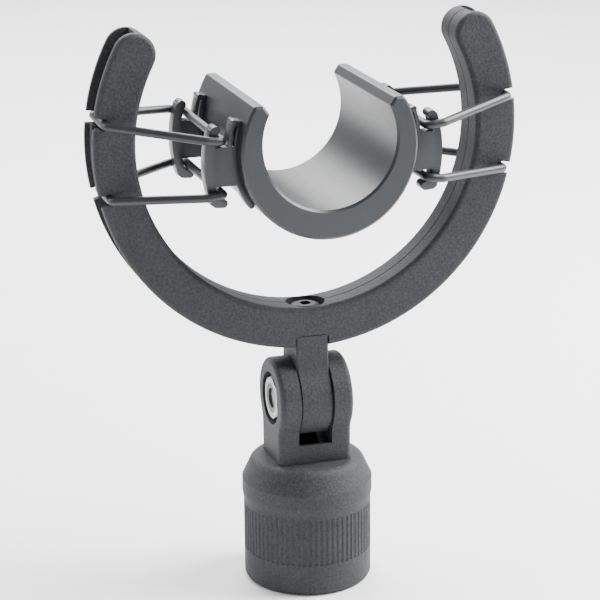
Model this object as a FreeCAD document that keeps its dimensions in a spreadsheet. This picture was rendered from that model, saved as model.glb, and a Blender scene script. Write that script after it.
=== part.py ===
import FreeCAD, Part
import Sketcher
import math
import os

from FreeCAD import Placement, Rotation, Vector

# Elastic suspension for a stick microphone: a fluted base cup with a fork, a swivelling
# horseshoe yoke of two half shells, and an open clamp ring hung in it on four rubber bands.
# Millimetres. Origin at the centre of the cup's bottom, +Z up, clamp bore along Y,
# tilt axis along X.

os.makedirs("parts", exist_ok=True)
doc = FreeCAD.newDocument("elastic_suspension")

# ---------------------------------------------------------------- driving dimensions
DIMENSIONS = [
    # base cup and fork
    ("cup_radius", 12.5), ("collar_radius", 12.75), ("collar_low", 16.6), ("collar_high", 18.0),
    ("cup_edge", 1.0), ("shoulder_top", 25.2), ("shoulder_round", 2.0),
    ("shoulder_low", 20.8), ("shoulder_slope", 25.0),
    ("flute_low", 6.4), ("flute_high", 15.8), ("flute_count", 72),
    ("flute_radius", 0.42), ("flute_depth", 0.17), ("insert_radius", 9.5), ("insert_depth", 13.5),
    ("fork_width", 14.6), ("fork_depth", 12.0), ("fork_foot", 21.5), ("ear_radius", 8.0),
    ("ear_round", 1.0), ("fork_blend", 4.0), ("slot_width", 6.7), ("slot_floor", 29.0),
    ("pivot_height", 37.4), ("well_floor", 24.5), ("well_depth", 10.6),
    # pivot hardware
    ("bolt_radius", 2.5), ("pin_play", 0.05), ("nut_flats", 8.0), ("nut_thick", 2.7),
    ("nut_face", 7.1), ("nut_pocket", 5.2), ("head_radius", 4.25), ("head_thick", 2.6),
    ("head_pocket", 4.5), ("head_face", 7.0), ("ring_outer", 2.9), ("ring_inner", 2.0),
    # thread parts
    ("thread_radius", 7.94), ("adapter_radius", 7.8), ("bore_radius", 4.76),
    ("insert_low", 0.4), ("adapter_low", 0.6), ("adapter_top", 12.6), ("tool_slot", 2.2),
    # yoke
    ("yoke_outer", 41.25), ("yoke_inner", 33.25), ("yoke_centre", 89.5), ("yoke_thick", 9.0),
    ("tip_angle", 28.0), ("plate_wall", 1.6), ("channel_floor", 36.5), ("channel_end", 32.4),
    ("face_round", 0.9), ("seam_width", 0.15), ("notch_bottom", 38.5), ("notch_width", 2.3),
    ("notch_upper", 7.6), ("notch_lower", -12.9), ("rest_outer", 40.4), ("rest_gap", 1.2),
    # tongue and yoke screw
    ("tongue_width", 6.5), ("tongue_play", 0.12), ("tongue_step", 50.6), ("tongue_radius", 7.6),
    ("recess_radius", 3.8), ("recess_floor", 54.7), ("screw_head", 3.1), ("screw_shank", 1.5),
    ("screw_low", 44.0),
    # clamp ring
    ("ring_radius", 16.8), ("ring_centre", 89.7), ("mic_radius", 12.8), ("mic_centre", 91.3),
    ("ring_length", 33.6), ("lip_angle", 32.4), ("lip_flat", 12.4), ("lip_inner", 11.4),
    ("ring_bevel", 0.45), ("lip_round", 0.5), ("tongue_edge", 0.35), ("tongue_blend", 5.0),
    # hook brackets
    ("hook_centre", 87.4), ("hook_thick", 3.0), ("hook_face", 13.5), ("saddle_thick", 1.1),
    ("saddle_low", -35.0), ("saddle_leg", 0.55), ("leg_high", 20.5), ("leg_low", 2.5),
    ("finger_inner", 17.85), ("finger_outer", 18.5), ("finger_high", 18.5), ("web_half", 3.6),
    ("flange_inner", 21.2), ("flange_outer", 22.8), ("flange_angle", 18.0),
    ("curl_offset", 6.75), ("curl_half", 0.82), ("upper_curl", 20.7), ("lower_curl", 19.5),
    # rubber bands
    ("band_radius", 0.8), ("band_hook", 19.55), ("band_lift", 4.95), ("band_front", 14.55),
    ("band_finger", 22.6), ("band_yoke_side", 5.45), ("band_bend", 1.2), ("band_seat", 39.4),
    # bevels, overlaps and sinkings
    ("well_past", 0.5), ("insert_bevel", 0.3), ("groove_low", 5.2), ("groove_slope", 0.4),
    ("groove_width", 1.4), ("groove_depth", 0.5), ("adapter_bevel", 0.4), ("bore_bevel", 0.3),
    ("bolt_inset", 0.55), ("bolt_bevel", 0.5), ("head_bevel", 0.7), ("bolt_key", 1.75),
    ("bolt_key_depth", 1.6), ("nut_bevel", 0.75), ("nut_bevel_depth", 0.45), ("ring_sunk", 0.05),
    ("ring_turn", 0.1), ("ring_thick", 0.5), ("rest_margin", 1.7), ("rest_root", 0.5),
    ("rest_overlap", 0.3), ("gap_round", 0.8), ("recess_past", 2.0), ("screw_bore", 8.0),
    ("thread_bore", 10.0), ("tongue_fit", 0.06), ("tongue_top_gap", 0.05), ("screw_turn", 0.4),
    ("screw_key", 1.15), ("screw_key_depth", 1.15), ("screw_key_start", 1.5),
    ("screw_crown", 1.35), ("web_root", 0.2), ("web_tip", 0.4), ("finger_low", 1.0),
    ("cap_swell", 0.15), ("curl_sink", 0.15), ("curl_drop", 0.1),
]

sheet = doc.addObject("Spreadsheet::Sheet", "sizes")
for row, (alias, value) in enumerate(DIMENSIONS, start=1):
    sheet.set("A%d" % row, alias)
    sheet.set("B%d" % row, str(value))
    sheet.setAlias("B%d" % row, alias)
doc.recompute()
size = {alias: float(sheet.get(alias)) for alias, _ in DIMENSIONS}

FRONT, BACK = -1, 1
LEFT, RIGHT = -1, 1
OVERRUN = 1.0        # how far a cutting outline runs past the body
PAST = 0.1           # the same for a fine cut
NEAR = 0.01          # slack when edges are picked by position
# how far in from the rim and how high above its seat the yoke screw's domed head turns
SCREW_DOME = ((0.0, 0.5), (0.35, 1.0), (1.0, 1.25))


# ---------------------------------------------------------------- building helpers
def new_body(name):
    body = doc.addObject("PartDesign::Body", name)
    body.Label = name
    return body


def polar(radius, angle, centre=(0.0, 0.0)):
    turn = math.radians(angle)
    return (centre[0] + radius * math.cos(turn), centre[1] + radius * math.sin(turn))


def segment(start, end):
    return Part.LineSegment(Vector(start[0], start[1], 0), Vector(end[0], end[1], 0))


def chain(points):
    closed = points + points[:1]
    return [segment(a, b) for a, b in zip(closed, closed[1:])]


def arc(centre, radius, first, last):
    circle = Part.Circle(Vector(centre[0], centre[1], 0), Vector(0, 0, 1), radius)
    return Part.ArcOfCircle(circle, math.radians(first), math.radians(last))


def ring_sector(centre, inner, outer, first, last):
    corners = [polar(r, a, centre) for r, a in
               ((inner, first), (outer, first), (outer, last), (inner, last))]
    return [segment(corners[0], corners[1]), arc(centre, outer, first, last),
            segment(corners[2], corners[3]), arc(centre, inner, first, last)]


def toed_sector(centre, inner, outer, first, last):
    """A ring sector whose first end is round."""
    toe = polar((inner + outer) / 2, first, centre)
    return [arc(centre, outer, first, last), arc(centre, inner, first, last),
            segment(polar(outer, last, centre), polar(inner, last, centre)),
            arc(toe, (outer - inner) / 2, first + 180, first + 360)]


def capsule(start, end, half):
    """A bar with round ends between two points."""
    turn = math.degrees(math.atan2(end[1] - start[1], end[0] - start[0]))
    side = [polar(half, turn + 90, start), polar(half, turn - 90, start),
            polar(half, turn - 90, end), polar(half, turn + 90, end)]
    return [arc(start, half, turn + 90, turn + 270), segment(side[1], side[2]),
            arc(end, half, turn - 90, turn + 90), segment(side[3], side[0])]


def blend_point(radius, half, blend):
    """A disc blends into straight sides at plus and minus half by tangent arcs: how far from
    the disc's centre each arc's centre lies, and the angle of the arc."""
    drop = math.sqrt((radius + blend) ** 2 - (half + blend) ** 2)
    return drop, math.degrees(math.atan2(drop, half + blend))


def mirrored(geometry, side):
    if side == RIGHT:
        return geometry
    flip = FreeCAD.Matrix(-1, 0, 0, 0, 0, 1, 0, 0, 0, 0, 1, 0, 0, 0, 0, 1)
    copies = []
    for piece in geometry:
        if isinstance(piece, Part.LineSegment):
            a, b = (flip.multiply(p) for p in (piece.StartPoint, piece.EndPoint))
            copies.append(Part.LineSegment(a, b))
        else:
            first, last = (math.degrees(v) for v in (piece.FirstParameter, piece.LastParameter))
            centre = (-piece.Center.x, piece.Center.y)
            copies.append(arc(centre, piece.Radius, 180 - last, 180 - first))
    return copies


def new_sketch(body, name, role, geometry, placement=None):
    sketch = body.newObject("Sketcher::SketchObject", name)
    plane = [f for f in body.Origin.OriginFeatures if f.Role == role][0]
    sketch.AttachmentSupport = [(plane, "")]
    sketch.MapMode = "FlatFace"
    if placement is not None:
        sketch.AttachmentOffset = placement
    sketch.addGeometry(geometry, False)
    return sketch


def circle_sketch(body, name, role, centre, alias, placement=None):
    """A circle whose radius is bound to the sheet."""
    circle = Part.Circle(Vector(centre[0], centre[1], 0), Vector(0, 0, 1), size[alias])
    sketch = new_sketch(body, name, role, [circle], placement)
    sketch.addConstraint(Sketcher.Constraint("DistanceX", -1, 1, 0, 3, centre[0]))
    sketch.addConstraint(Sketcher.Constraint("DistanceY", -1, 1, 0, 3, centre[1]))
    index = sketch.addConstraint(Sketcher.Constraint("Radius", 0, size[alias]))
    sketch.renameConstraint(index, "radius")
    sketch.setExpression("Constraints.radius", "sizes." + alias)
    return sketch


def lifted(distance):
    return Placement(Vector(0, 0, distance), Rotation())


def extrude(body, kind, name, sketch, length, reverse=False, both=False):
    feature = body.newObject("PartDesign::" + kind, name)
    feature.Profile = sketch
    feature.Type = "Length"
    feature.Reversed = reverse
    feature.Midplane = both
    feature.setExpression("Length", length)
    sketch.Visibility = False
    doc.recompute()
    return feature


def revolve(body, kind, name, sketch, axis):
    feature = body.newObject("PartDesign::" + kind, name)
    feature.Profile = sketch
    feature.ReferenceAxis = (sketch, [axis])
    feature.Angle = 360.0
    doc.recompute()
    return feature


def soften(body, kind, name, base, alias, wanted):
    """Fillet or chamfer the edges of the base feature that the test picks."""
    edges = ["Edge%d" % (i + 1) for i, e in enumerate(base.Shape.Edges) if wanted(e)]
    feature = body.newObject("PartDesign::" + kind, name)
    feature.Base = (base, edges)
    if kind == "Fillet":
        feature.setExpression("Radius", "sizes." + alias)
    else:
        feature.setExpression("Size", "sizes." + alias)
    doc.recompute()
    return feature


def in_plane(edge, axis, value, slack=1e-4):
    box = edge.BoundBox
    low, high = {"x": (box.XMin, box.XMax), "y": (box.YMin, box.YMax),
                 "z": (box.ZMin, box.ZMax)}[axis]
    return abs(low - value) < slack and abs(high - value) < slack


# ---------------------------------------------------------------- base cup with its fork
def base_cup():
    s = size
    body = new_body("base_cup")
    edge, cup, collar = s["cup_edge"], s["cup_radius"], s["collar_radius"]
    top, bend = s["shoulder_top"], s["shoulder_round"]
    # fork block: discs around the pivot over a straight foot, one outline in the YZ plane
    half, radius, pivot = s["fork_depth"] / 2, s["ear_radius"], s["pivot_height"]
    foot, blend = s["fork_foot"], s["fork_blend"]
    drop, meet = blend_point(radius, half, blend)
    low_blend = pivot - drop
    outline = [arc((0, pivot), radius, -meet, 180 + meet),
               arc((-half - blend, low_blend), blend, 0, meet),
               segment((-half, low_blend), (-half, foot)),
               segment((-half, foot), (half, foot)),
               segment((half, foot), (half, low_blend)),
               arc((half + blend, low_blend), blend, 180 - meet, 180)]
    fork = extrude(body, "Pad", "fork_block", new_sketch(body, "fork_outline", "YZ_Plane", outline),
                   "sizes.fork_width", both=True)
    outside = s["fork_width"] / 2
    soften(body, "Fillet", "ear_rounding", fork, "ear_round",
           lambda e: (in_plane(e, "x", outside) or in_plane(e, "x", -outside))
           and e.BoundBox.ZMax > foot + PAST)

    # the turned cup grows round the fork's foot
    # a sloping shoulder, turned over to the flat top by a tangent arc
    slope = math.radians(s["shoulder_slope"])
    turn_high = top - bend + bend * math.sin(slope)
    turn_out = collar - (turn_high - s["shoulder_low"]) * math.tan(slope)
    shoulder = (turn_out - bend * math.cos(slope), top - bend)
    rising = [(0, top), (0, 0), (cup - edge, 0), (cup - edge / 3, edge / 3), (cup, edge),
              (cup, s["collar_low"]), (collar, s["collar_high"]), (collar, s["shoulder_low"]),
              (turn_out, turn_high)]
    profile = [segment(a, b) for a, b in zip(rising, rising[1:])]
    profile += [arc(shoulder, bend, s["shoulder_slope"], 90), segment((shoulder[0], top), (0, top))]
    revolve(body, "Revolution", "cup_turned",
            new_sketch(body, "cup_profile", "XZ_Plane", profile), "V_Axis")

    gap, floor = s["slot_width"] / 2, s["slot_floor"]
    above = pivot + radius + 2 * OVERRUN
    extrude(body, "Pocket", "fork_slot",
            new_sketch(body, "slot_outline", "XZ_Plane",
                       chain([(-gap, floor), (gap, floor), (gap, above), (-gap, above)])),
            "4 * sizes.ear_radius", both=True)
    well = s["well_depth"] / 2
    extrude(body, "Pocket", "fork_well",
            new_sketch(body, "well_outline", "XY_Plane",
                       chain([(-gap, -well), (gap, -well), (gap, well), (-gap, well)]),
                       lifted(floor + s["well_past"])),
            "sizes.slot_floor + sizes.well_past - sizes.well_floor")

    # pivot hole, nut pocket on the left ear, head pocket on the right ear
    extrude(body, "Pocket", "pivot_hole",
            circle_sketch(body, "pivot_circle", "YZ_Plane", (0, pivot), "bolt_radius"),
            "2 * sizes.fork_width", both=True)
    extrude(body, "Pocket", "nut_seat",
            circle_sketch(body, "nut_circle", "YZ_Plane", (0, pivot), "nut_pocket",
                          lifted(-outside)),
            "sizes.fork_width / 2 - sizes.nut_face + sizes.nut_thick", reverse=True)
    extrude(body, "Pocket", "head_seat",
            circle_sketch(body, "head_circle", "YZ_Plane", (0, pivot), "head_pocket",
                          lifted(outside)),
            "sizes.fork_width / 2 - sizes.head_face + sizes.head_thick")

    # socket for the brass insert and the grip flutes
    extrude(body, "Pocket", "insert_socket",
            circle_sketch(body, "insert_circle", "XY_Plane", (0, 0), "insert_radius"),
            "sizes.insert_depth", reverse=True)
    centre_line = s["cup_radius"] + s["flute_radius"] - s["flute_depth"]
    count = int(s["flute_count"])
    flutes = []
    for i in range(count):
        x, y = polar(centre_line, 360.0 * i / count)
        flutes.append(Part.Circle(Vector(x, y, 0), Vector(0, 0, 1), s["flute_radius"]))
    extrude(body, "Pocket", "grip_flutes",
            new_sketch(body, "flute_circles", "XY_Plane", flutes, lifted(s["flute_low"])),
            "sizes.flute_high - sizes.flute_low", reverse=True)
    return body


# ---------------------------------------------------------------- turned and hexagonal hardware
def turned(name, profile, role="XZ_Plane", axis="V_Axis"):
    body = new_body(name)
    revolve(body, "Revolution", name + "_turned",
            new_sketch(body, name + "_profile", role, chain(profile)), axis)
    return body


def thread_insert():
    s = size
    low, top, r = s["insert_low"], s["insert_depth"], s["insert_radius"]
    bevel, slope, deep = s["insert_bevel"], s["groove_slope"], r - s["groove_depth"]
    groove = low + s["groove_low"]
    upper = groove + slope + s["groove_width"]
    return turned("thread_insert", [
        (s["thread_radius"], low), (r - bevel, low), (r, low + bevel), (r, groove),
        (deep, groove + slope), (deep, upper), (r, upper + slope), (r, top),
        (s["thread_radius"], top)])


def thread_adapter():
    s = size
    low, top, r = s["adapter_low"], s["adapter_top"], s["adapter_radius"]
    bore, bevel, rim = s["bore_radius"], s["adapter_bevel"], s["bore_bevel"]
    body = turned("thread_adapter", [
        (bore + bevel, low), (r - bevel, low), (r, low + bevel), (r, top - bevel),
        (r - bevel, top), (bore + rim, top), (bore, top - rim), (bore, low + bevel)])
    half, reach = s["tool_slot"] / 2, r + OVERRUN
    extrude(body, "Pocket", "tool_slot_cut",
            new_sketch(body, "tool_slot_outline", "XY_Plane",
                       chain([(-reach, -half), (reach, -half), (reach, half), (-reach, half)]),
                       lifted(low)),
            "sizes.tool_slot", reverse=True)
    return body


def pivot_bolt():
    s = size
    pivot, head, tip = s["pivot_height"], s["head_face"], s["nut_face"] - s["bolt_inset"]
    r, rh, under = s["bolt_radius"] - s["pin_play"], s["head_radius"], s["head_thick"]
    body = new_body("pivot_bolt")
    end, bevel = s["bolt_bevel"], s["head_bevel"]
    profile = [(-tip, pivot), (-tip, pivot + r - end), (-tip + end, pivot + r),
               (head - under, pivot + r), (head - under, pivot + rh), (head - bevel, pivot + rh),
               (head, pivot + rh - bevel), (head, pivot)]
    sketch = new_sketch(body, "bolt_profile", "XZ_Plane", chain(profile))
    sketch.addGeometry([segment((-1, pivot), (1, pivot))], True)
    revolve(body, "Revolution", "bolt_turned", sketch, "Axis0")
    hexagon = chain([polar(s["bolt_key"], 60 * i + 30, (0, pivot)) for i in range(6)])
    extrude(body, "Pocket", "hex_socket",
            new_sketch(body, "socket_outline", "YZ_Plane", hexagon, lifted(head)),
            "sizes.bolt_key_depth")
    return body


def pivot_nut():
    s = size
    body = new_body("pivot_nut")
    pivot, corner = s["pivot_height"], s["nut_flats"] / math.sqrt(3)
    face = s["nut_face"]
    hexagon = chain([polar(corner, 60 * i + 30, (0, pivot)) for i in range(6)])
    nut = extrude(body, "Pad", "hexagon",
                  new_sketch(body, "hexagon_outline", "YZ_Plane", hexagon, lifted(-face)),
                  "sizes.nut_thick")
    # corners rounded off as on every turned nut
    clear = pivot + corner + PAST / 2
    cone = chain([(-face - PAST, pivot + corner - s["nut_bevel"]),
                  (-face + s["nut_bevel_depth"], clear), (-face - PAST, clear)])
    sketch = new_sketch(body, "corner_profile", "XZ_Plane", cone)
    sketch.addGeometry([segment((-face, pivot), (0, pivot))], True)
    revolve(body, "Groove", "corner_turned", sketch, "Axis0")
    extrude(body, "Pocket", "nut_thread",
            circle_sketch(body, "thread_circle", "YZ_Plane", (0, pivot), "bolt_radius",
                          lifted(-face)),
            "sizes.nut_thick", reverse=True)
    extrude(body, "Pocket", "ring_seat",
            circle_sketch(body, "ring_circle", "YZ_Plane", (0, pivot), "ring_outer",
                          lifted(-face)),
            "sizes.ring_thick", reverse=True)
    return body


def nut_ring():
    s = size
    body = new_body("nut_lock_ring")
    pivot, face = s["pivot_height"], s["nut_face"]
    inner, outer, turn = pivot + s["ring_inner"], pivot + s["ring_outer"], s["ring_turn"]
    near, far = -face + s["ring_sunk"], -face + s["ring_thick"]
    profile = [(near, inner), (near, outer - turn), (near + turn, outer), (far, outer),
               (far, inner)]
    sketch = new_sketch(body, "lock_ring_profile", "XZ_Plane", chain(profile))
    sketch.addGeometry([segment((-face, pivot), (0, pivot))], True)
    revolve(body, "Revolution", "lock_ring_turned", sketch, "Axis0")
    return body


# ---------------------------------------------------------------- yoke half shells
def yoke_outline():
    s = size
    centre, tip = (0, s["yoke_centre"]), s["tip_angle"]
    middle = (s["yoke_outer"] + s["yoke_inner"]) / 2
    half = (s["yoke_outer"] - s["yoke_inner"]) / 2
    return [arc(centre, s["yoke_outer"], 180 - tip, 360 + tip),
            arc(polar(middle, tip, centre), half, tip, 180 + tip),
            arc(centre, s["yoke_inner"], 180 - tip, 360 + tip),
            arc(polar(middle, 180 - tip, centre), half, -tip, 180 - tip)]


def channel_outline():
    """The open groove round the outside, from one arm's tip to the other's."""
    s = size
    centre, end = (0, s["yoke_centre"]), s["channel_end"]
    inner, outer = s["channel_floor"], s["yoke_outer"] + 4 * OVERRUN
    a_in = math.degrees(math.acos(end / inner))
    a_out = math.degrees(math.acos(end / outer))
    p = [polar(r, a, centre) for r, a in
         ((inner, 180 - a_in), (outer, 180 - a_out), (outer, a_out), (inner, a_in))]
    return [segment(p[0], p[1]), arc(centre, outer, 180 - a_out, 360 + a_out),
            segment(p[2], p[3]), arc(centre, inner, 180 - a_in, 360 + a_in)]


def notch_outline(angle, side):
    """A round-bottomed notch cut in from the rim."""
    s = size
    half = s["notch_width"] / 2
    centre = (0, s["yoke_centre"])
    inner = polar(s["notch_bottom"] + half, angle, centre)
    outer = polar(s["yoke_outer"] + 3 * OVERRUN, angle, centre)
    a = [polar(half, angle + 90, inner), polar(half, angle - 90, inner),
         polar(half, angle - 90, outer), polar(half, angle + 90, outer)]
    shape = [arc(inner, half, angle + 90, angle + 270), segment(a[1], a[2]),
             segment(a[2], a[3]), segment(a[3], a[0])]
    return mirrored(shape, side)


def yoke_half(name, side):
    s = size
    body = new_body(name)
    back = side == BACK
    face = side * s["yoke_thick"] / 2
    pad = extrude(body, "Pad", name + "_shell",
                  new_sketch(body, name + "_outline", "XZ_Plane", yoke_outline()),
                  "sizes.yoke_thick / 2", reverse=back)
    rounded = soften(body, "Fillet", name + "_rounding", pad, "face_round",
                     lambda e: in_plane(e, "y", face))
    soften(body, "Chamfer", name + "_seam", rounded, "seam_width",
           lambda e: in_plane(e, "y", 0))
    extrude(body, "Pocket", name + "_channel",
            new_sketch(body, name + "_channel_outline", "XZ_Plane", channel_outline()),
            "sizes.yoke_thick / 2 - sizes.plate_wall", reverse=not back)
    rests = []
    centre = (0, s["yoke_centre"])
    first, last = s["notch_lower"] + s["rest_margin"], s["notch_upper"] - s["rest_margin"]
    for arm in (RIGHT, LEFT):
        rests += mirrored(ring_sector(centre, s["channel_floor"] - s["rest_root"],
                                      s["rest_outer"], first, last), arm)
    offset = lifted(-side * s["rest_gap"])
    extrude(body, "Pad", name + "_rests",
            new_sketch(body, name + "_rest_outline", "XZ_Plane", rests, offset),
            "sizes.yoke_thick / 2 - sizes.plate_wall - sizes.rest_gap + sizes.rest_overlap", reverse=back)
    notches = []
    for arm in (RIGHT, LEFT):
        for angle in (s["notch_upper"], s["notch_lower"]):
            notches += notch_outline(angle, arm)
    extrude(body, "Pocket", name + "_notches",
            new_sketch(body, name + "_notch_outline", "XZ_Plane", notches),
            "sizes.yoke_thick", reverse=not back)
    half = s["tongue_width"] / 2 + s["tongue_play"]
    low = s["yoke_centre"] - s["yoke_outer"] - OVERRUN
    high, r = s["tongue_step"] + s["tongue_play"], s["gap_round"]
    window = [segment((-half, low), (half, low)), segment((half, low), (half, high - r)),
              arc((half - r, high - r), r, 0, 90), segment((half - r, high), (r - half, high)),
              arc((r - half, high - r), r, 90, 180), segment((-half, high - r), (-half, low))]
    extrude(body, "Pocket", name + "_tongue_gap",
            new_sketch(body, name + "_gap_outline", "XZ_Plane", window),
            "sizes.yoke_thick", reverse=not back)
    bottom = s["yoke_centre"] - s["yoke_inner"] + s["recess_past"]
    extrude(body, "Pocket", name + "_screw_recess",
            circle_sketch(body, name + "_recess_circle", "XY_Plane", (0, 0), "recess_radius",
                          lifted(bottom)),
            "sizes.yoke_centre - sizes.yoke_inner + sizes.recess_past - sizes.recess_floor")
    extrude(body, "Pocket", name + "_screw_hole",
            circle_sketch(body, name + "_hole_circle", "XY_Plane", (0, 0), "screw_shank",
                          lifted(bottom)),
            "sizes.screw_bore")
    return body


def swivel_tongue():
    s = size
    body = new_body("swivel_tongue")
    pivot, r = s["pivot_height"], s["tongue_radius"]
    neck = s["yoke_thick"] / 2
    head = neck - s["plate_wall"] - s["tongue_fit"]
    step = s["tongue_step"]
    top = s["yoke_centre"] - s["channel_floor"] - s["tongue_top_gap"]
    blend = s["tongue_blend"]
    rise, meet = blend_point(r, neck, blend)
    bend = pivot + rise
    outline = [arc((0, pivot), r, 180 - meet, 360 + meet),
               arc((neck + blend, bend), blend, 180, 180 + meet),
               segment((neck, bend), (neck, step)),
               segment((neck, step), (head, step)), segment((head, step), (head, top)),
               segment((head, top), (-head, top)), segment((-head, top), (-head, step)),
               segment((-head, step), (-neck, step)), segment((-neck, step), (-neck, bend)),
               arc((-neck - blend, bend), blend, -meet, 0)]
    pad = extrude(body, "Pad", "tongue_blank",
                  new_sketch(body, "tongue_outline", "YZ_Plane", outline),
                  "sizes.tongue_width", both=True)
    side = s["tongue_width"] / 2
    soften(body, "Chamfer", "tongue_rounding", pad, "tongue_edge",
           lambda e: (in_plane(e, "x", side) or in_plane(e, "x", -side))
           and e.BoundBox.ZMax < step + NEAR)
    extrude(body, "Pocket", "tongue_bore",
            circle_sketch(body, "tongue_circle", "YZ_Plane", (0, pivot), "bolt_radius"),
            "2 * sizes.tongue_width", both=True)
    extrude(body, "Pocket", "tongue_thread",
            circle_sketch(body, "tongue_thread_circle", "XY_Plane", (0, 0), "screw_shank",
                          lifted(top)),
            "sizes.thread_bore")
    return body


def yoke_screw():
    s = size
    r, head, shelf = s["screw_shank"], s["screw_head"], s["recess_floor"]
    low, turn = s["screw_low"], s["screw_turn"]
    body = turned("yoke_screw", [
        (0, low), (r - turn, low), (r, low + turn), (r, shelf), (head, shelf)]
        + [(head - inset, shelf + rise) for inset, rise in SCREW_DOME]
        + [(0, shelf + s["screw_crown"])])
    hexagon = chain([polar(s["screw_key"], 60 * i) for i in range(6)])
    extrude(body, "Pocket", "screw_socket",
            new_sketch(body, "screw_socket_outline", "XY_Plane", hexagon,
                       lifted(shelf + s["screw_key_start"])),
            "sizes.screw_key_depth")
    return body


# ---------------------------------------------------------------- clamp ring and its hooks
def clamp_ring():
    s = size
    body = new_body("clamp_ring")
    centre, bore = (0, s["ring_centre"]), (0, s["mic_centre"])
    lip = s["lip_angle"]
    outer = polar(s["ring_radius"], lip, centre)
    inner_angle = math.degrees(math.acos(s["lip_inner"] / s["mic_radius"]))
    inner = polar(s["mic_radius"], inner_angle, bore)
    flat = (s["lip_flat"], outer[1])
    outline = [arc(centre, s["ring_radius"], 180 - lip, 360 + lip),
               segment(outer, flat), segment(flat, inner),
               arc(bore, s["mic_radius"], 180 - inner_angle, 360 + inner_angle),
               segment((-inner[0], inner[1]), (-flat[0], flat[1])),
               segment((-flat[0], flat[1]), (-outer[0], outer[1]))]
    pad = extrude(body, "Pad", "ring_blank",
                  new_sketch(body, "ring_outline", "XZ_Plane", outline),
                  "sizes.ring_length", both=True)
    lips = soften(body, "Fillet", "lip_rounding", pad, "lip_round",
                  lambda e: in_plane(e, "x", e.BoundBox.XMin)
                  and e.BoundBox.YLength > s["ring_length"] - NEAR
                  and e.BoundBox.ZMin > inner[1] - PAST)
    end = s["ring_length"] / 2
    soften(body, "Chamfer", "ring_edges", lips, "ring_bevel",
           lambda e: in_plane(e, "y", end) or in_plane(e, "y", -end))
    return body


def hook_bracket(name, side, end):
    """One hook plate: a saddle on the ring, a web, and a flange with curled fingers."""
    s = size
    body = new_body(name)
    ring, middle = (0, s["ring_centre"]), (0, s["hook_centre"])
    saddle_in, saddle_out = s["ring_radius"], s["ring_radius"] + s["saddle_thick"]
    lift, half = s["curl_offset"], s["curl_half"]
    arc_mid = (s["flange_inner"] + s["flange_outer"]) / 2
    corner_z = s["hook_centre"] + lift
    corner_x = math.sqrt(arc_mid ** 2 - lift ** 2)
    low_z = s["hook_centre"] - lift
    curl_x, drop, swell = corner_x - s["curl_sink"], s["curl_drop"], s["cap_swell"]
    web, web_in, web_out = s["web_half"], saddle_in + s["web_root"], s["flange_inner"] + s["web_tip"]
    finger_mid = (s["finger_inner"] + s["finger_outer"]) / 2
    finger_half = (s["finger_outer"] - s["finger_inner"]) / 2
    leg_out = saddle_in + s["saddle_leg"]
    leg_mid = (saddle_in + leg_out) / 2
    shapes = [
        ("saddle", toed_sector(ring, saddle_in, saddle_out, s["saddle_low"], s["leg_low"])),
        ("saddle_leg", ring_sector(ring, saddle_in, leg_out, s["finger_low"], s["leg_high"])),
        ("web", chain([(web_in, s["hook_centre"] - web), (web_out, s["hook_centre"] - web),
                       (web_out, s["hook_centre"] + web), (web_in, s["hook_centre"] + web)])),
        ("flange", ring_sector(middle, s["flange_inner"], s["flange_outer"],
                               -s["flange_angle"], s["flange_angle"])),
        ("finger", ring_sector(ring, s["finger_inner"], s["finger_outer"],
                               s["finger_low"], s["finger_high"])),
        ("finger_cap", capsule(polar(leg_mid + 2 * swell, s["finger_high"], ring),
                               polar(finger_mid, s["finger_high"], ring),
                               finger_half + swell)),
        ("upper_curl", capsule((s["upper_curl"], corner_z), (curl_x, corner_z - drop), half)),
        ("lower_curl", capsule((s["lower_curl"], low_z), (curl_x, low_z + drop), half)),
    ]
    offset = lifted(s["hook_face"] - s["hook_thick"] if end == FRONT else -s["hook_face"])
    for label, shape in shapes:
        extrude(body, "Pad", name + "_" + label,
                new_sketch(body, name + "_" + label + "_outline", "XZ_Plane",
                           mirrored(shape, side), offset), "sizes.hook_thick")
    return body


# ---------------------------------------------------------------- rubber bands
def rounded_loop(points, radius):
    """A closed run of straight stretches joined by tangent arcs."""
    geometry, joints = [], []
    count = len(points)
    for i in range(count):
        before, here, after = (Vector(*points[(i + k) % count], 0) for k in (-1, 0, 1))
        into, out = (before - here).normalize(), (after - here).normalize()
        angle = into.getAngle(out)
        back_off = radius / math.tan(angle / 2)
        start, end = here + into * back_off, here + out * back_off
        middle = here + (into + out).normalize() * (radius / math.sin(angle / 2) - radius)
        joints.append((start, middle, end))
    for i in range(count):
        start, middle, end = joints[i]
        geometry.append(Part.Arc(start, middle, end))
        geometry.append(Part.LineSegment(end, joints[(i + 1) % count][0]))
    return geometry


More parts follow.
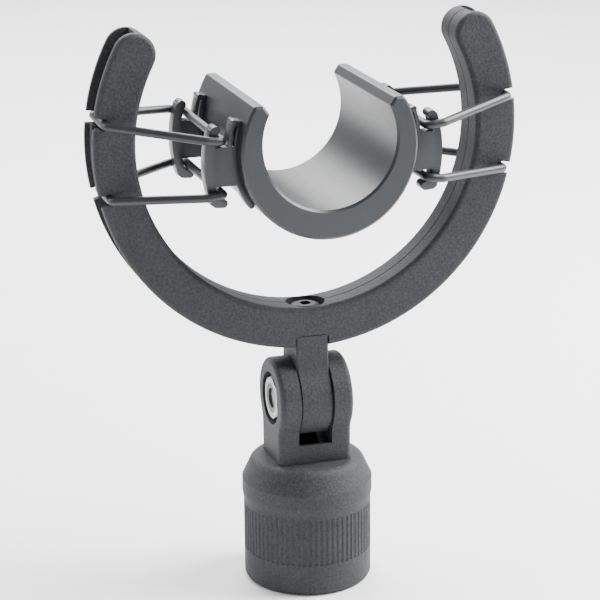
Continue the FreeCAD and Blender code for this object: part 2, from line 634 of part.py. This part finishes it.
def rubber_band(name, side, level):
    s = size
    body = new_body(name)
    angle = s["notch_upper"] if level > 0 else s["notch_lower"]
    seat = polar(s["band_seat"], angle, (0, s["yoke_centre"]))
    hook = (s["band_hook"], s["hook_centre"] + level * s["band_lift"])
    length = math.hypot(seat[0] - hook[0], seat[1] - hook[1])
    slope = math.degrees(math.atan2(seat[1] - hook[1], side * (seat[0] - hook[0])))
    reach = s["band_finger"] - s["band_hook"]
    corners = [(0, -s["band_front"]), (reach, -s["band_front"]), (length, -s["band_yoke_side"]),
               (length, s["band_yoke_side"]), (reach, s["band_front"]), (0, s["band_front"])]
    turn = Rotation(Vector(0, 1, 0), -slope)
    where = Placement(Vector(side * hook[0], 0, hook[1]), turn)
    path = new_sketch(body, name + "_path", "XY_Plane", rounded_loop(corners, s["band_bend"]),
                      where)
    ring = Part.Circle(Vector(0, 0, 0), Vector(0, 0, 1), s["band_radius"])
    section = new_sketch(body, name + "_section", "XZ_Plane", [ring],
                         Placement(Vector(side * hook[0], hook[1], 0), Rotation()))
    index = section.addConstraint(Sketcher.Constraint("Radius", 0, s["band_radius"]))
    section.renameConstraint(index, "radius")
    section.setExpression("Constraints.radius", "sizes.band_radius")
    doc.recompute()
    pipe = body.newObject("PartDesign::AdditivePipe", name + "_pipe")
    pipe.Profile = section
    pipe.Spine = (path, ["Edge%d" % (i + 1) for i in range(len(path.Shape.Edges))])
    doc.recompute()
    return body


# ---------------------------------------------------------------- assembly
parts = [
    base_cup(), thread_insert(), thread_adapter(), pivot_bolt(), pivot_nut(), nut_ring(),
    yoke_half("yoke_front_half", FRONT), yoke_half("yoke_back_half", BACK),
    swivel_tongue(), yoke_screw(), clamp_ring(),
]
for side, side_name in ((LEFT, "left"), (RIGHT, "right")):
    for end, end_name in ((FRONT, "front"), (BACK, "back")):
        parts.append(hook_bracket("hook_%s_%s" % (side_name, end_name), side, end))
    for level, level_name in ((1, "upper"), (-1, "lower")):
        parts.append(rubber_band("band_%s_%s" % (side_name, level_name), side, level))

doc.recompute()
for item in doc.Objects:
    if "Invalid" in item.State or "Error" in item.State:
        raise RuntimeError("feature failed: %s %s" % (item.Label, item.State))
for part in parts:
    shape = part.Shape
    if shape.isNull() or not shape.isValid() or len(shape.Solids) != 1:
        raise RuntimeError("bad shape: %s, %d solids" % (part.Label, len(shape.Solids)))
    shape.exportStep("parts/%s.step" % part.Label)
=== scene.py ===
import math

import bmesh
import bpy
from mathutils import Matrix, Vector


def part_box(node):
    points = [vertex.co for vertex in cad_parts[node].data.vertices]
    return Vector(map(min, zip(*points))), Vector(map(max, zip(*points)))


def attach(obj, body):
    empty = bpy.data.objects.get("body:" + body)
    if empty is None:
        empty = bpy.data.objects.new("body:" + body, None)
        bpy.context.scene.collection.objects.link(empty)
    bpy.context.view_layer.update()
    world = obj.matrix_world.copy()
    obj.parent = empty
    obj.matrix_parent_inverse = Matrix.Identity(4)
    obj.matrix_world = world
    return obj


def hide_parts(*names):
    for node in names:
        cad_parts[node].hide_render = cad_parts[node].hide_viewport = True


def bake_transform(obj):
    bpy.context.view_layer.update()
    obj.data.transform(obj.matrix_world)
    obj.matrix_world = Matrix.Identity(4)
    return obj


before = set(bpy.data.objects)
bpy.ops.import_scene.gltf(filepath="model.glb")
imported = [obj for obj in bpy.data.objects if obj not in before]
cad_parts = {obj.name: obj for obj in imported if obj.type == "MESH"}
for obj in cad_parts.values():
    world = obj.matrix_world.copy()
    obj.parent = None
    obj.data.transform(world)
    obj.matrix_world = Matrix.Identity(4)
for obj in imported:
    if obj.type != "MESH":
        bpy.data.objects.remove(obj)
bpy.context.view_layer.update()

MM = 0.001

# the yoke's own sizes, in metres in the object's frame
YOKE_LOW, YOKE_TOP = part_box("yoke_front_half")

# hook plates: how their rims are rolled
RIM_WIDTH = 0.2 * MM
RIM_STEPS = 3
RIM_SHARP = math.radians(38)
WELD_GAP = 0.002 * MM
FLAT_ENOUGH = math.radians(1.5)

# rubber bands: section, bends, and where they turn at the hooks and the arms
BAND_RADIUS = 0.8 * MM
BAND_BEND = 1.2 * MM
BEND_STEPS = 10
BAND_PITCH = 0.28 * MM
BAND_SIDES = 20
HOOK_TIP_INSET = 0.2 * MM
ARM_FACE_GAP = 0.95 * MM

# studio: a floor that reaches past the view, even light all round, and four soft boxes,
# each with its place, the point it faces, its width and height, and its power in watts
FLOOR_REACH = 6.0
FLOOR_CLOUD = 0.5
SKY_STRENGTH = 0.72
PART_MIDDLE = (0.0, 0.0, 0.06)
SOFT_BOXES = (
    ("key_box", (0.42, -0.05, 0.42), PART_MIDDLE, (0.3, 0.4), 13.0),
    ("left_box", (-0.5, 0.2, 0.32), PART_MIDDLE, (0.25, 0.4), 2.0),
    ("back_top", (0.0, 0.55, 0.5), PART_MIDDLE, (0.6, 0.3), 6.5),
    ("floor_wash", (0.0, 0.9, 0.8), (0.0, 0.7, 0.0), (1.4, 0.8), 14.0),
)

# the catalogue viewpoint, in metres and degrees: left of the front, looking down on the part
CAMERA_TURN = 17.23
CAMERA_RISE = 17.07
CAMERA_AWAY = 0.4297
CAMERA_AIM = Vector((-0.0009, 0.0004, 0.0565))
CAMERA_LEAN = -0.61
CAMERA_LENS = 134.04
CAMERA_SENSOR = 36.0
CLIP_NEAR, CLIP_FAR = 0.01, 20.0


# ------------------------------------------------------------------ shader arithmetic
class Value:
    """A node output that can be used in ordinary arithmetic."""

    def __init__(self, paint, socket):
        self.paint, self.socket = paint, socket

    def _maths(self, operation, *inputs):
        return self.paint.node("ShaderNodeMath", {"operation": operation}, *inputs)[0]

    def __add__(self, other):
        return self._maths("ADD", self, other)

    def __radd__(self, other):
        return self._maths("ADD", other, self)

    def __sub__(self, other):
        return self._maths("SUBTRACT", self, other)

    def __rsub__(self, other):
        return self._maths("SUBTRACT", other, self)

    def __mul__(self, other):
        return self._maths("MULTIPLY", self, other)

    def __rmul__(self, other):
        return self._maths("MULTIPLY", other, self)

    def clamped(self, low=0.0, high=1.0):
        return self._maths("MINIMUM", self._maths("MAXIMUM", self, low), high)

    def above(self, level):
        return self._maths("GREATER_THAN", self, level)


class Paint:
    """One material and the nodes in it."""

    def __init__(self, name):
        self.material = bpy.data.materials.new(name)
        self.material.use_nodes = True
        self.tree = self.material.node_tree
        self.shader = self.tree.nodes["Principled BSDF"]

    def node(self, kind, settings, *values, **named):
        """Make a node, apply its settings, then feed its inputs by order or by name."""
        made = self.tree.nodes.new(kind)
        for key, value in settings.items():
            setattr(made, key, value)
        for index, value in enumerate(values):
            self.feed(made.inputs[index], value)
        for key, value in named.items():
            self.feed(made.inputs[key.replace("_", " ")], value)
        return [Value(self, socket) for socket in made.outputs]

    def feed(self, socket, value):
        if isinstance(value, Value):
            self.tree.links.new(value.socket, socket)
        elif value is not None:
            socket.default_value = value

    def where(self):
        """The point on the part, in metres."""
        return self.node("ShaderNodeTexCoord", {})[3]

    def noise(self, place, size, detail=2.0, rough=0.5, bend=0.0):
        """Noise whose patches are about size metres across, from 0 to 1."""
        return self.node("ShaderNodeTexNoise", {}, Vector=place, Scale=1.0 / size, Detail=detail,
                         Roughness=rough, Distortion=bend)[0]

    def cells(self, place, size):
        return self.node("ShaderNodeTexVoronoi", {}, Vector=place, Scale=1.0 / size)[0]

    def stretched(self, place, x, y, z):
        return self.node("ShaderNodeVectorMath", {"operation": "MULTIPLY"}, place, (x, y, z))[0]

    def mixed(self, share, first, second):
        """A colour between two others. A Mix node's colours are its last two inputs."""
        unused = [None] * 5
        return self.node("ShaderNodeMix", {"data_type": "RGBA"}, share, *unused,
                         (*first, 1.0), (*second, 1.0))[2]

    def bumped(self, height, depth):
        """A surface raised by height times depth metres."""
        return self.node("ShaderNodeBump", {}, Strength=1.0, Distance=depth, Height=height)[0]

    def finish(self, **sockets):
        for name, value in sockets.items():
            socket = self.shader.inputs[name.replace("_", " ")]
            if isinstance(value, tuple) and len(value) == 3 and socket.type == "RGBA":
                value = (*value, 1.0)
            self.feed(socket, value)
        return self.material


# ------------------------------------------------------------------ finishes
def spark_grained_plastic(name, base, worn):
    """Matt moulded plastic with a fine spark-eroded grain."""
    grain_size, pit_size, cloud_size, speck_size = 0.46 * MM, 0.5 * MM, 7 * MM, 0.3 * MM
    speck_level, speck_share, grain_dark = 0.64, 0.3, 0.36
    grain_share, cloud_share, matt, matt_spread = 2.6, 0.5, 0.58, 0.24
    p = Paint(name)
    spot = p.where()
    grain = p.noise(spot, grain_size, 3.0, 0.6)
    pits = p.cells(spot, pit_size)
    cloud = p.noise(spot, cloud_size)
    speck = p.noise(spot, speck_size, 1.0).above(speck_level)
    share = ((grain - grain_dark) * grain_share + (cloud - 0.5) * cloud_share
             + speck * speck_share).clamped()
    return p.finish(Base_Color=p.mixed(share, base, worn),
                    Roughness=(matt + grain * matt_spread).clamped(),
                    Normal=p.bumped(grain * 0.65 + pits * 0.35, GRAIN_DEPTH),
                    Specular_IOR_Level=0.4)


def satin_moulding(name, base, light):
    """Smooth satin-gloss moulded plastic with faint flow marks and fine handling scratches."""
    flow_size, scratch_size, dust_size, relief = 6 * MM, 0.28 * MM, 0.5 * MM, 0.014 * MM
    flow_stretch, scratch_stretch = 0.25, 0.06
    gloss, scratch_spread, flow_spread = 0.30, 0.12, 0.05
    p = Paint(name)
    spot = p.where()
    flow = p.noise(p.stretched(spot, 1.0, flow_stretch, 1.0), flow_size, 2.0, 0.5, 0.4)
    scratch = p.noise(p.stretched(spot, 1.0, scratch_stretch, 1.0), scratch_size, 2.0, 0.6)
    dust = p.noise(spot, dust_size)
    return p.finish(Base_Color=p.mixed((flow * 0.8 + dust * 0.2).clamped(), base, light),
                    Roughness=(gloss + scratch * scratch_spread + flow * flow_spread).clamped(),
                    Normal=p.bumped(scratch * 0.4 + dust * 0.6, relief),
                    Specular_IOR_Level=0.55)


def elastic_rubber(name, base, bloomed):
    """Black drawn rubber cord with a light sheen and a dusting of bloom."""
    skin_size, bloom_size, relief = 0.22 * MM, 2.4 * MM, 0.012 * MM
    sheen, sheen_spread = 0.36, 0.16
    p = Paint(name)
    spot = p.where()
    skin = p.noise(spot, skin_size, 2.0, 0.55)
    bloom = p.noise(spot, bloom_size)
    return p.finish(Base_Color=p.mixed(bloom, base, bloomed),
                    Roughness=(sheen + bloom * sheen_spread).clamped(),
                    Normal=p.bumped(skin, relief), Specular_IOR_Level=0.55)


def worked_metal(name, base, dull, rough, depth):
    """Plated or turned metal with fine tool marks and a patchy dull film."""
    mark_size, film_size, mark_stretch = 0.24 * MM, 1.1 * MM, 0.3
    film_level, film_share, mark_spread = 0.35, 2.4, 0.16
    p = Paint(name)
    spot = p.where()
    marks = p.noise(p.stretched(spot, mark_stretch, 1.0, 1.0), mark_size, 3.0, 0.6)
    film = p.noise(spot, film_size)
    return p.finish(Base_Color=p.mixed(((film - film_level) * film_share).clamped(), base, dull),
                    Metallic=1.0, Roughness=(rough + marks * mark_spread).clamped(),
                    Normal=p.bumped(marks, depth))


def lock_ring_nylon(name, base, worn):
    """Dark nylon of the nut's locking ring."""
    grain_size, relief, rough, rough_spread = 0.3 * MM, 0.02 * MM, 0.4, 0.2
    p = Paint(name)
    grain = p.noise(p.where(), grain_size)
    return p.finish(Base_Color=p.mixed(grain, base, worn),
                    Roughness=(rough + grain * rough_spread).clamped(),
                    Normal=p.bumped(grain, relief))


GRAIN_DEPTH = 0.11 * MM
PLATED_MARKS, FINE_MARKS = 0.02 * MM, 0.01 * MM
grained = spark_grained_plastic("grained_plastic", (0.010, 0.0105, 0.0125),
                                (0.034, 0.035, 0.040))
satin = satin_moulding("ring_plastic", (0.008, 0.0105, 0.0125), (0.016, 0.020, 0.024))
rubber = elastic_rubber("band_rubber", (0.005, 0.005, 0.007), (0.013, 0.014, 0.018))
zinc = worked_metal("nut_zinc", (0.24, 0.25, 0.25), (0.08, 0.085, 0.085), 0.26, PLATED_MARKS)
nylon = lock_ring_nylon("lock_nylon", (0.018, 0.022, 0.021), (0.045, 0.052, 0.050))
steel = worked_metal("bolt_steel", (0.34, 0.39, 0.37), (0.16, 0.19, 0.18), 0.3, PLATED_MARKS)
black_steel = worked_metal("screw_black", (0.016, 0.016, 0.018), (0.008, 0.008, 0.010), 0.42,
                           FINE_MARKS)
brass = worked_metal("insert_brass", (0.76, 0.56, 0.26), (0.5, 0.35, 0.15), 0.26, FINE_MARKS)
adapter_metal = worked_metal("adapter_steel", (0.60, 0.60, 0.58), (0.4, 0.4, 0.39), 0.24,
                             FINE_MARKS)

FINISH = {
    "base_cup": grained, "yoke_front_half": grained, "yoke_back_half": grained,
    "swivel_tongue": grained, "clamp_ring": satin, "pivot_nut": zinc, "nut_lock_ring": nylon,
    "pivot_bolt": steel, "yoke_screw": black_steel, "thread_insert": brass,
    "thread_adapter": adapter_metal,
}
SIDES = (("left", -1), ("right", 1))
LEVELS = (("upper", 1), ("lower", -1))
ENDS = ("front", "back")
for side_name, _ in SIDES:
    for end_name in ENDS:
        FINISH["hook_%s_%s" % (side_name, end_name)] = satin
    for level_name, _ in LEVELS:
        FINISH["band_%s_%s" % (side_name, level_name)] = rubber
for name, material in FINISH.items():
    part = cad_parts[name]
    for holder in part.material_slots:
        holder.material = material
    if not part.material_slots:
        part.data.materials.append(material)


# ------------------------------------------------------------------ hook plates
def rolled_hook(name):
    """The moulded hook plate with its rims rounded as they leave the tool."""
    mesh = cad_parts[name].data.copy()
    shape = bmesh.new()
    shape.from_mesh(mesh)
    bmesh.ops.remove_doubles(shape, verts=shape.verts, dist=WELD_GAP)
    bmesh.ops.dissolve_limit(shape, angle_limit=FLAT_ENOUGH, verts=shape.verts,
                             edges=shape.edges)
    shape.to_mesh(mesh)
    shape.free()
    for face in mesh.polygons:
        face.use_smooth = True
    plate = bpy.data.objects.new(name + "_moulded", mesh)
    bpy.context.scene.collection.objects.link(plate)
    rim = plate.modifiers.new("rim", "BEVEL")
    rim.width, rim.segments = RIM_WIDTH, RIM_STEPS
    rim.limit_method, rim.angle_limit = "ANGLE", RIM_SHARP
    rim.harden_normals = True
    mesh.materials.clear()
    mesh.materials.append(satin)
    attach(plate, "cradle")
    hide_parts(name)


# ------------------------------------------------------------------ rubber bands
def rounded_route(corners, radius, steps):
    """Points along a closed loop of straight runs joined by arcs."""
    route = []
    count = len(corners)
    for i in range(count):
        before, here, after = (corners[(i + k) % count] for k in (-1, 0, 1))
        into, out = (before - here).normalized(), (after - here).normalized()
        half = into.angle(out) / 2
        back_off, centre_off = radius / math.tan(half), radius / math.sin(half)
        centre = here + (into + out).normalized() * centre_off
        first, last = here + into * back_off - centre, here + out * back_off - centre
        sweep, axis = first.angle(last), first.cross(last).normalized()
        for k in range(steps + 1):
            route.append(centre + Matrix.Rotation(sweep * k / steps, 3, axis) @ first)
    return route


def even_route(route, pitch):
    """The same closed route at an even spacing."""
    closed = route + route[:1]
    lengths = [0.0]
    for a, b in zip(closed, closed[1:]):
        lengths.append(lengths[-1] + (b - a).length)
    total = lengths[-1]
    count = int(round(total / pitch))
    points, k = [], 0
    for i in range(count):
        want = total * i / count
        while lengths[k + 1] < want:
            k += 1
        span = lengths[k + 1] - lengths[k]
        points.append(closed[k].lerp(closed[k + 1], (want - lengths[k]) / span if span else 0.0))
    return points


def stretched_band(side_name, side, level_name, level):
    """A round rubber loop, drawn taut from the arm's notches round the hook plates."""
    name = "band_%s_%s" % (side_name, level_name)
    low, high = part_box(name)
    hook_low, hook_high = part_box("hook_%s_front" % side_name)
    outer = max(abs(low.x), abs(high.x))
    inner = min(abs(low.x), abs(high.x))
    hook_x, yoke_x = inner + BAND_RADIUS, outer - BAND_RADIUS
    hook_z, yoke_z = low.z + BAND_RADIUS, high.z - BAND_RADIUS
    if level < 0:
        hook_z, yoke_z = yoke_z, hook_z
    front = high.y - BAND_RADIUS
    corner_x = max(abs(hook_low.x), abs(hook_high.x)) - HOOK_TIP_INSET
    yoke_side = ARM_FACE_GAP - YOKE_LOW.y

    def at(x, y):
        share = (x - hook_x) / (yoke_x - hook_x)
        return Vector((side * x, y, hook_z + (yoke_z - hook_z) * share))

    corners = [at(hook_x, -front), at(corner_x, -front), at(yoke_x, -yoke_side),
               at(yoke_x, yoke_side), at(corner_x, front), at(hook_x, front)]
    route = even_route(rounded_route(corners, BAND_BEND, BEND_STEPS), BAND_PITCH)
    count, around = len(route), BAND_SIDES
    shape = bmesh.new()
    rings = []
    slope = Vector((side * (yoke_x - hook_x), 0, yoke_z - hook_z)).normalized()
    level_up = slope.cross(Vector((0, 1, 0))).normalized()
    for i, point in enumerate(route):
        along = (route[(i + 1) % count] - route[i - 1]).normalized()
        aside = along.cross(level_up).normalized()
        ring = []
        for k in range(around):
            turn = math.tau * k / around
            ring.append(shape.verts.new(point + (aside * math.cos(turn)
                                                 + level_up * math.sin(turn)) * BAND_RADIUS))
        rings.append(ring)
    for i in range(count):
        this, following = rings[i], rings[(i + 1) % count]
        for k in range(around):
            shape.faces.new((this[k], this[(k + 1) % around],
                             following[(k + 1) % around], following[k]))
    bmesh.ops.recalc_face_normals(shape, faces=shape.faces)
    mesh = bpy.data.meshes.new(name + "_loop")
    shape.to_mesh(mesh)
    shape.free()
    for face in mesh.polygons:
        face.use_smooth = True
    mesh.materials.append(rubber)
    loop = bpy.data.objects.new(name + "_loop", mesh)
    bpy.context.scene.collection.objects.link(loop)
    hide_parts(name)
    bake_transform(loop)


for side_name, side in SIDES:
    for end_name in ENDS:
        rolled_hook("hook_%s_%s" % (side_name, end_name))
    for level_name, level in LEVELS:
        stretched_band(side_name, side, level_name, level)


# ------------------------------------------------------------------ floor, light, camera
def studio():
    floor_mesh = bpy.data.meshes.new("studio_floor")
    reach = FLOOR_REACH
    floor_mesh.from_pydata([(-reach, -reach, 0), (reach, -reach, 0), (reach, reach, 0),
                            (-reach, reach, 0)], [], [(0, 1, 2, 3)])
    floor = bpy.data.objects.new("studio_floor", floor_mesh)
    bpy.context.scene.collection.objects.link(floor)
    p = Paint("pale_floor")
    floor_mesh.materials.append(p.finish(
        Base_Color=p.mixed(p.noise(p.where(), FLOOR_CLOUD), (0.90, 0.90, 0.90), (0.93, 0.93, 0.93)),
        Roughness=0.75))

    world = bpy.data.worlds.new("studio_world")
    bpy.context.scene.world = world
    world.use_nodes = True
    sky_colour, sky_strength = world.node_tree.nodes["Background"].inputs[:2]
    sky_colour.default_value = (1.0, 1.0, 1.0, 1.0)
    sky_strength.default_value = SKY_STRENGTH

    for name, place, aim, size, power in SOFT_BOXES:
        light = bpy.data.lights.new(name, "AREA")
        light.shape, light.size, light.size_y, light.energy = "RECTANGLE", *size, power
        holder = bpy.data.objects.new(name, light)
        bpy.context.scene.collection.objects.link(holder)
        holder.location = place
        facing = Vector(aim) - Vector(place)
        holder.rotation_euler = facing.to_track_quat("-Z", "Y").to_euler()


def camera():
    turn, rise = math.radians(CAMERA_TURN), math.radians(CAMERA_RISE)
    away = Vector((-math.sin(turn) * math.cos(rise), -math.cos(turn) * math.cos(rise),
                   math.sin(rise)))
    data = bpy.data.cameras.new("catalogue_camera")
    data.sensor_width, data.lens = CAMERA_SENSOR, CAMERA_LENS
    data.clip_start, data.clip_end = CLIP_NEAR, CLIP_FAR
    holder = bpy.data.objects.new("catalogue_camera", data)
    bpy.context.scene.collection.objects.link(holder)
    facing = (-away).to_track_quat("-Z", "Y").to_matrix().to_4x4()
    lean = Matrix.Rotation(math.radians(CAMERA_LEAN), 4, "Z")
    holder.matrix_world = Matrix.Translation(CAMERA_AIM + away * CAMERA_AWAY) @ facing @ lean
    bpy.context.scene.camera = holder


studio()
camera()
